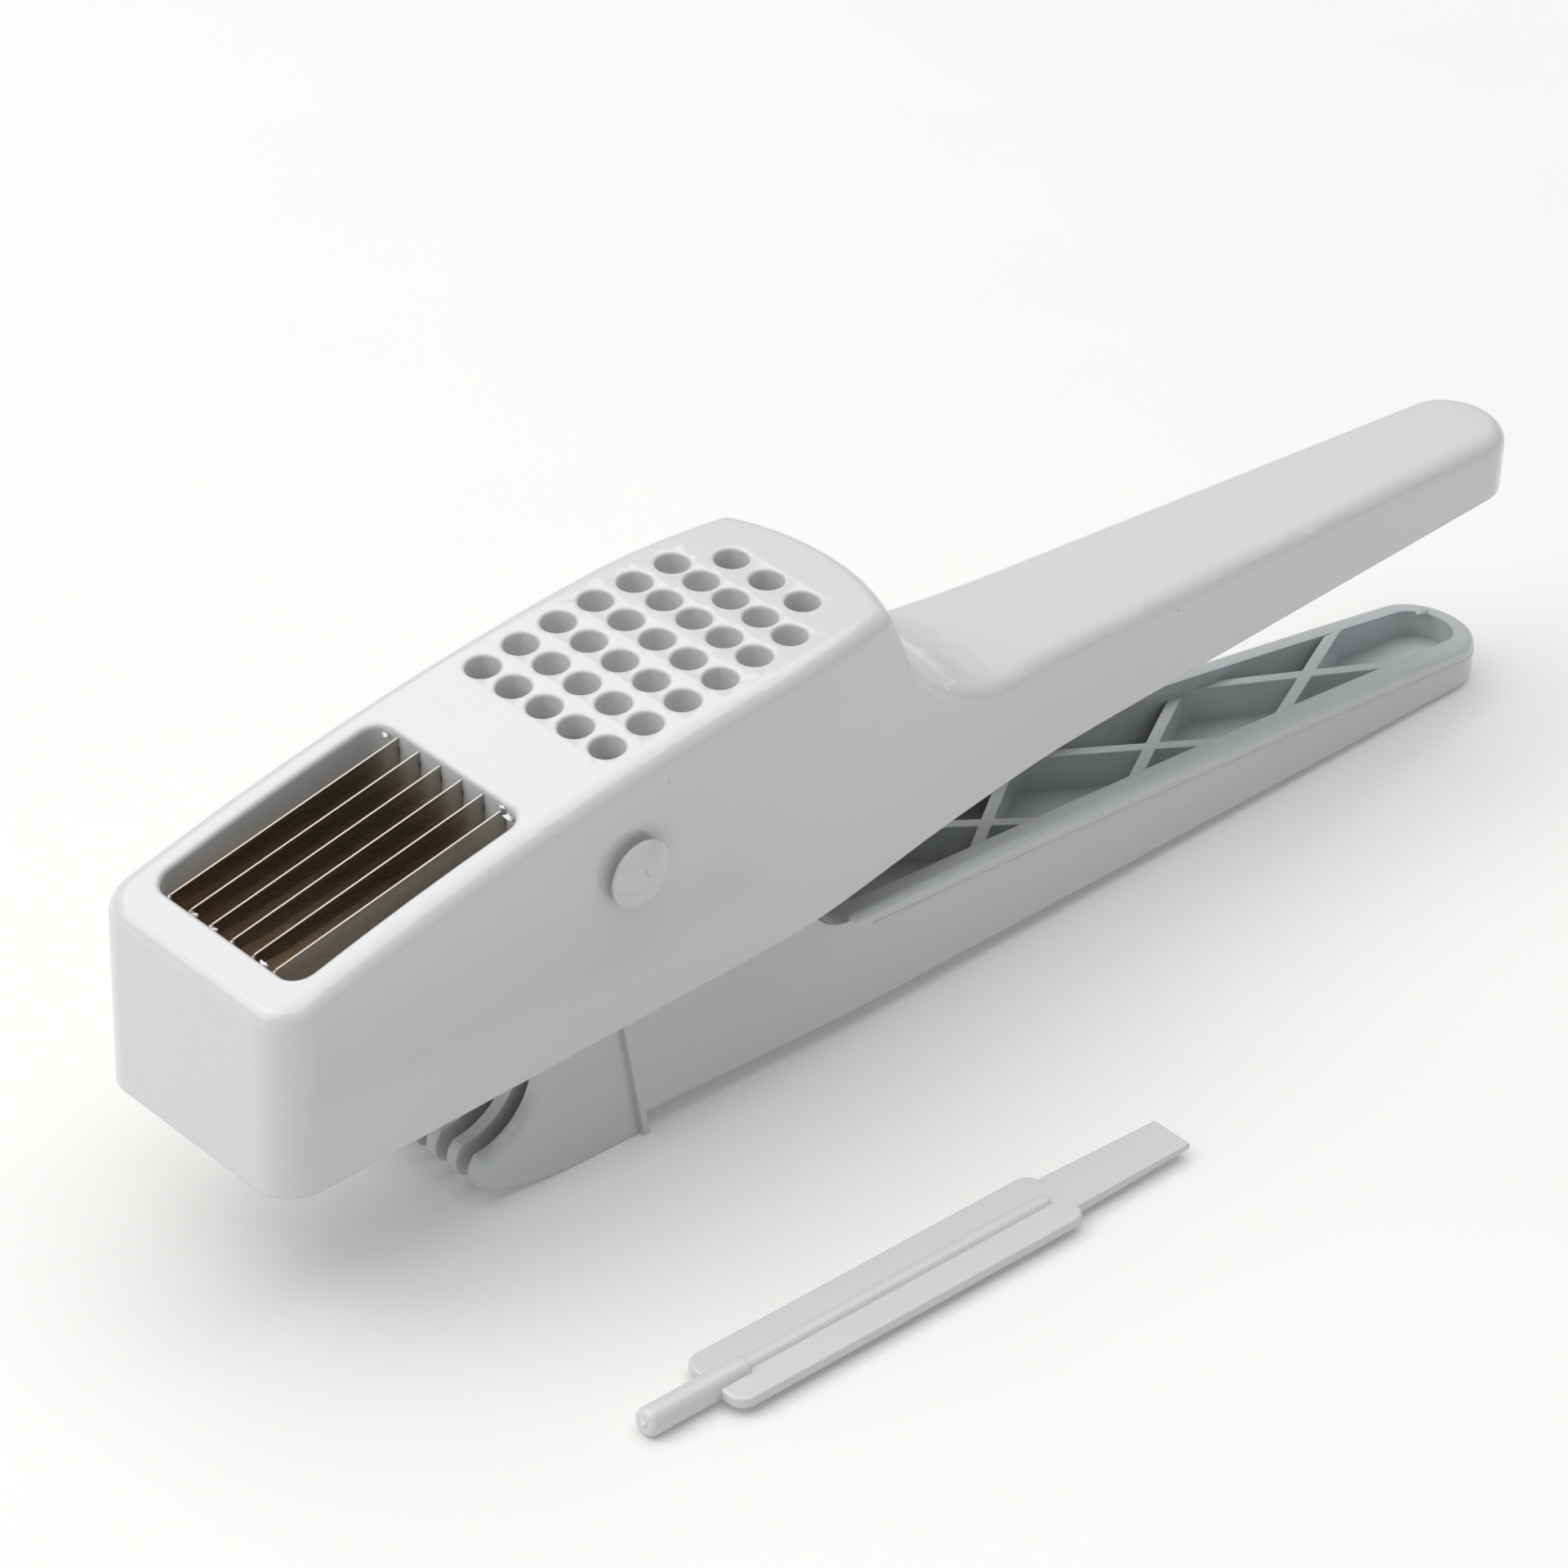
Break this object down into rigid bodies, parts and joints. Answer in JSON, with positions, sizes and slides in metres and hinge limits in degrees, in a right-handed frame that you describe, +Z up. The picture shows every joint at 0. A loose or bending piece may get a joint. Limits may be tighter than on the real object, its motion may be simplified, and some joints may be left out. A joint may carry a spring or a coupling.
{
  "type": "garlic press",
  "caption": "Two-way hand garlic press: a hinged lever drives a plunger against a press grid and a curved comb up between slicer blades.",
  "frame": {"origin": "middle of the flat foot under the comb, on the table that the closed tool lies on", "axes": "+X from the head towards the handle ends, +Z up from the table, +Y to the left of the handles, away from the pin's domed head"},
  "size_m": [0.1864, 0.066, 0.0519],
  "materials": {
    "body_plastic": "light cool grey moulded plastic, glossy",
    "lever_plastic": "light cool grey moulded plastic, glossy",
    "pin_plastic": "light grey moulded plastic, glossy",
    "blade_steel": "thin rolled stainless strip, bright edges",
    "pick_plastic": "light cool grey moulded plastic, satin gloss"
  },
  "bodies": {
    "lever": {"lower_lever": "lever_plastic"},
    "body": {"upper_body": "body_plastic", "pivot_pin": "pin_plastic", "slicer_blade_1": "blade_steel", "slicer_blade_2": "blade_steel", "slicer_blade_3": "blade_steel", "slicer_blade_4": "blade_steel", "slicer_blade_5": "blade_steel", "slicer_blade_6": "blade_steel"},
    "pick": {"cleaning_pick": "pick_plastic"}
  },
  "joints": [
    {"name": "pivot", "type": "hinge", "parent": "lever", "child": "body", "pos_m": [-0.004, 0, 0.037], "axis": [0, -1, 0], "range_deg": [0, 80]},
    {"name": "pick_lift", "type": "slide", "parent": "lever", "child": "pick", "axis": [0, 0, 1], "range_m": [0, 0.05]}
  ]
}
